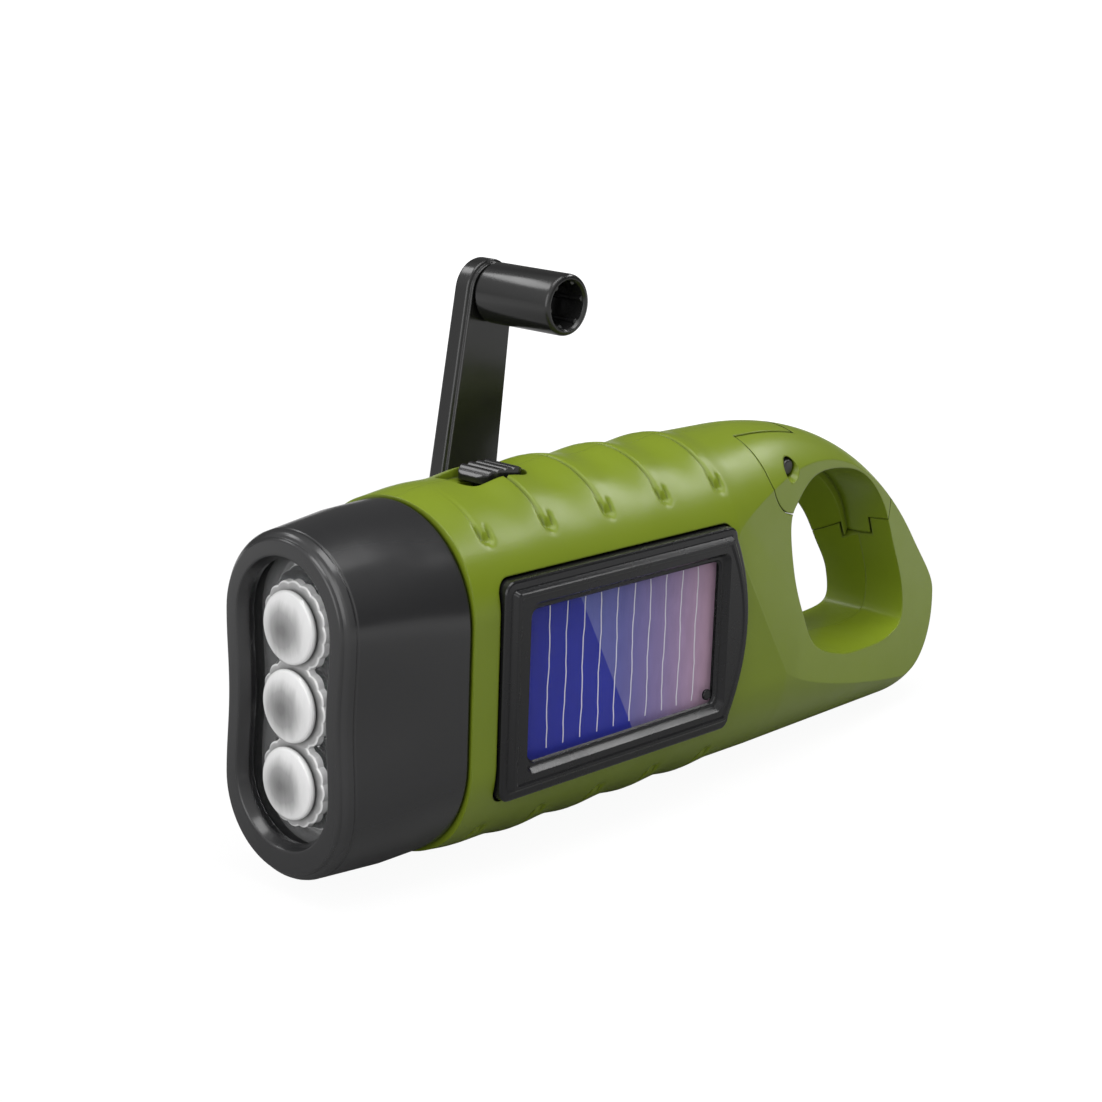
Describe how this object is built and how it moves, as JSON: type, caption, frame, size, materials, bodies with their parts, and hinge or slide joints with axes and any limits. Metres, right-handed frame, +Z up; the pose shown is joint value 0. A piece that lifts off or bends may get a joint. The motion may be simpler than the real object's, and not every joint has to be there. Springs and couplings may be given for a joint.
{
  "type": "hand crank flashlight",
  "caption": "Flat pocket flashlight with a folding hand crank, a side solar panel, a peanut-shaped lamp head, a slide switch and a carabiner tail with a sprung gate.",
  "frame": {"origin": "middle of the bounding box at its lowest point, the crest of the bottom grip ribs, with the crank standing up", "axes": "+X runs from the lamp face to the carabiner tail, +Z is up, -Y faces out of the solar panel and +Y out of the crank side"},
  "size_m": [0.1306, 0.05, 0.0682],
  "materials": {
    "shell": "satin yellow-green plastic",
    "hood": "satin black plastic",
    "frame": "glossy black plastic",
    "clear": "clear polished",
    "chrome": "vacuum metallised",
    "cell": "blue silicon under resin",
    "circuit": "solder resist",
    "steel": "plated",
    "nylon": "natural nylon",
    "magnet": "dark iron",
    "copper": "enamelled copper wire",
    "wrap": "shrink wrap"
  },
  "bodies": {
    "housing": {"panel_side_shell": "shell", "crank_side_shell": "shell", "head_hood": "hood", "lens_window": "clear", "reflector": "chrome", "led_lens_1": "clear", "led_lens_2": "clear", "led_lens_3": "clear", "led_board": "circuit", "solar_frame": "frame", "solar_cover": "clear", "solar_cell": "cell", "switch_body": "steel", "main_board": "circuit", "battery_pack": "wrap", "gear_plate": "nylon", "idler_axle_1": "steel", "idler_axle_2": "steel", "stator_core": "magnet", "stator_coil": "copper", "gate_pin": "steel", "shell_screw_1": "steel", "shell_screw_2": "steel", "shell_screw_3": "steel", "shell_screw_4": "steel", "plate_screw_1": "steel", "plate_screw_2": "steel", "plate_screw_3": "steel"},
    "crank": {"crank_spindle": "steel", "crank_gear": "nylon", "crank_hub": "hood", "hub_screw": "steel", "fold_pin": "steel"},
    "arm": {"crank_arm": "hood", "knob_axle": "steel", "knob_clip": "steel"},
    "knob": {"crank_knob": "hood"},
    "first_idler": {"idler_gear_1": "nylon"},
    "second_idler": {"idler_gear_2": "nylon"},
    "rotor": {"rotor_shaft": "steel", "rotor_magnet": "magnet"},
    "gate": {"carabiner_gate": "shell", "gate_spring": "steel"},
    "switch": {"switch_slider": "hood"}
  },
  "joints": [
    {"name": "crank_spin", "type": "hinge", "parent": "housing", "child": "crank", "pos_m": [-0.0063, 0.01063, 0.0239], "axis": [0, 1, 0], "continuous": true},
    {"name": "crank_fold", "type": "hinge", "parent": "crank", "child": "arm", "pos_m": [-0.0063, 0.02138, 0.0239], "axis": [-0.9919, 0, 0.1271], "range_deg": [0, 180]},
    {"name": "knob_spin", "type": "hinge", "parent": "arm", "child": "knob", "pos_m": [-0.00122, 0.01063, 0.06357], "axis": [0, 1, 0], "continuous": true},
    {"name": "first_idler_spin", "type": "hinge", "parent": "housing", "child": "first_idler", "pos_m": [-0.01932, -0.00438, 0.02969], "axis": [0, 1, 0], "continuous": true},
    {"name": "second_idler_spin", "type": "hinge", "parent": "housing", "child": "second_idler", "pos_m": [-0.03196, -0.00438, 0.02311], "axis": [0, 1, 0], "continuous": true},
    {"name": "rotor_spin", "type": "hinge", "parent": "housing", "child": "rotor", "pos_m": [-0.02744, -0.00438, 0.0096], "axis": [0, 1, 0], "continuous": true},
    {"name": "gate_swing", "type": "hinge", "parent": "housing", "child": "gate", "pos_m": [0.01885, -0.00937, 0.0423], "axis": [0, 1, 0], "range_deg": [0, 25], "stiffness_Nm_per_rad": 0.02, "springref_deg": -17.19},
    {"name": "switch_slide", "type": "slide", "parent": "housing", "child": "switch", "axis": [-1, 0, 0], "range_m": [0, 0.003]}
  ],
  "couplings": [
    {"joint": "first_idler_spin", "follows": "crank_spin", "ratio": -2.8},
    {"joint": "second_idler_spin", "follows": "crank_spin", "ratio": 7.84},
    {"joint": "rotor_spin", "follows": "crank_spin", "ratio": -21.952}
  ]
}
